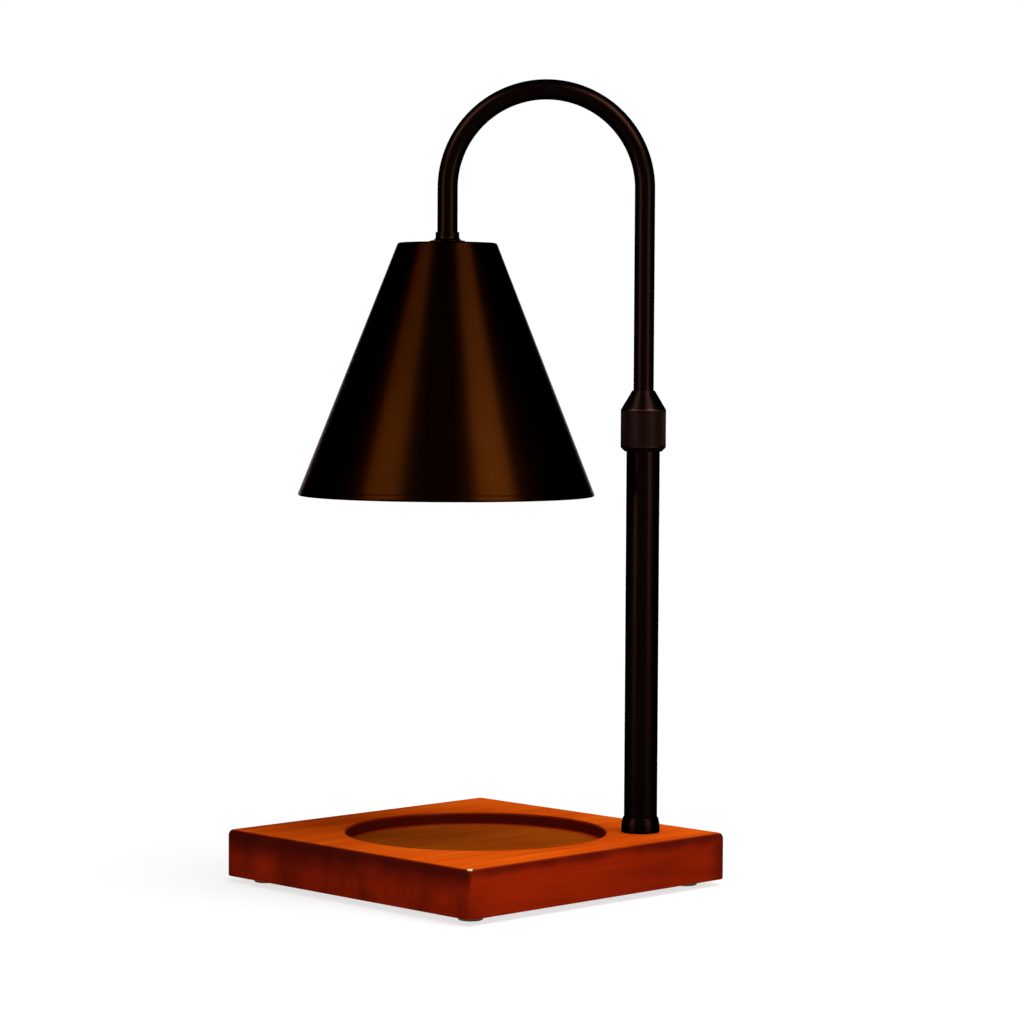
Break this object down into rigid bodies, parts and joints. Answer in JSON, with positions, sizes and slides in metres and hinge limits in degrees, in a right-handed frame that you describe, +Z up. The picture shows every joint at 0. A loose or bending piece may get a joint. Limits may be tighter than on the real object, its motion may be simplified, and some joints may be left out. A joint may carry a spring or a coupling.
{
  "type": "candle warmer lamp",
  "caption": "Table lamp that warms a jar candle: conical metal shade on a hooked arm, which slides and turns in a clamped post on a square wooden base with a round recess.",
  "frame": {"origin": "on the surface the lamp stands on, under the centre of the base", "axes": "+Z up, +X from the centre of the base towards the post, which stands near that corner; the arm lies in the XZ plane"},
  "size_m": [0.2088, 0.2088, 0.3379],
  "materials": {
    "red_wood": "satin red-brown stain and lacquer",
    "black_rubber": "matt moulded rubber",
    "black_metal": "satin black-bronze lacquer",
    "bronze_metal": "satin dark bronze lacquer over spun steel",
    "collar_metal": "matt black-brown, finely knurled",
    "zinc_steel": "bright zinc plate",
    "brass": "turned brass",
    "white_nylon": "natural nylon",
    "white_ceramic": "unglazed white ceramic",
    "black_sleeve": "black insulation",
    "white_sleeve": "white heat-resistant sleeve",
    "silver_glass": "silvered pressed glass",
    "warm_glass": "clear glass in front of a warm light"
  },
  "bodies": {
    "stand": {"wood_base": "red_wood", "foot_pad_front": "black_rubber", "foot_pad_back": "black_rubber", "foot_pad_left": "black_rubber", "foot_pad_right": "black_rubber", "cord_grommet": "black_rubber", "post_tube": "black_metal", "post_foot_ring": "black_metal", "post_stud": "zinc_steel", "base_washer": "zinc_steel", "base_nut": "zinc_steel", "clamp_bush": "brass", "clamp_collet": "white_nylon"},
    "collar": {"clamp_collar": "collar_metal"},
    "slider": {"arm_guide_bush": "white_nylon"},
    "arm": {"arm_tube": "black_metal", "arm_stop_ring": "zinc_steel", "arm_ferrule": "white_nylon", "arm_cord": "black_sleeve", "neck_cap": "black_metal", "neck_nipple": "zinc_steel", "neck_washer": "zinc_steel", "neck_nut": "zinc_steel", "shade": "bronze_metal", "holder_bracket": "zinc_steel", "lamp_holder": "white_ceramic", "holder_screw_left": "zinc_steel", "holder_screw_right": "zinc_steel", "holder_contact_front": "brass", "holder_contact_back": "brass", "lead_front": "black_sleeve", "lead_back": "white_sleeve"},
    "bulb": {"bulb_cap": "white_ceramic", "bulb_pin_front": "zinc_steel", "bulb_pin_back": "zinc_steel", "bulb_reflector": "silver_glass", "bulb_capsule": "warm_glass", "bulb_lens": "warm_glass"}
  },
  "joints": [
    {"name": "collar_turn", "type": "hinge", "parent": "stand", "child": "collar", "pos_m": [0.06946, 0, 0.195], "axis": [0, 0, 1], "range_deg": [0, 270]},
    {"name": "arm_height", "type": "slide", "parent": "stand", "child": "slider", "axis": [0, 0, 1], "range_m": [-0.07, 0.012]},
    {"name": "arm_swivel", "type": "hinge", "parent": "slider", "child": "arm", "pos_m": [0.06946, 0, 0.195], "axis": [0, 0, 1], "range_deg": [-170, 170]},
    {"name": "bulb_twist", "type": "hinge", "parent": "arm", "child": "bulb", "pos_m": [-0.01303, 0, 0.2331], "axis": [0, 0, 1], "range_deg": [-35, 0]}
  ]
}
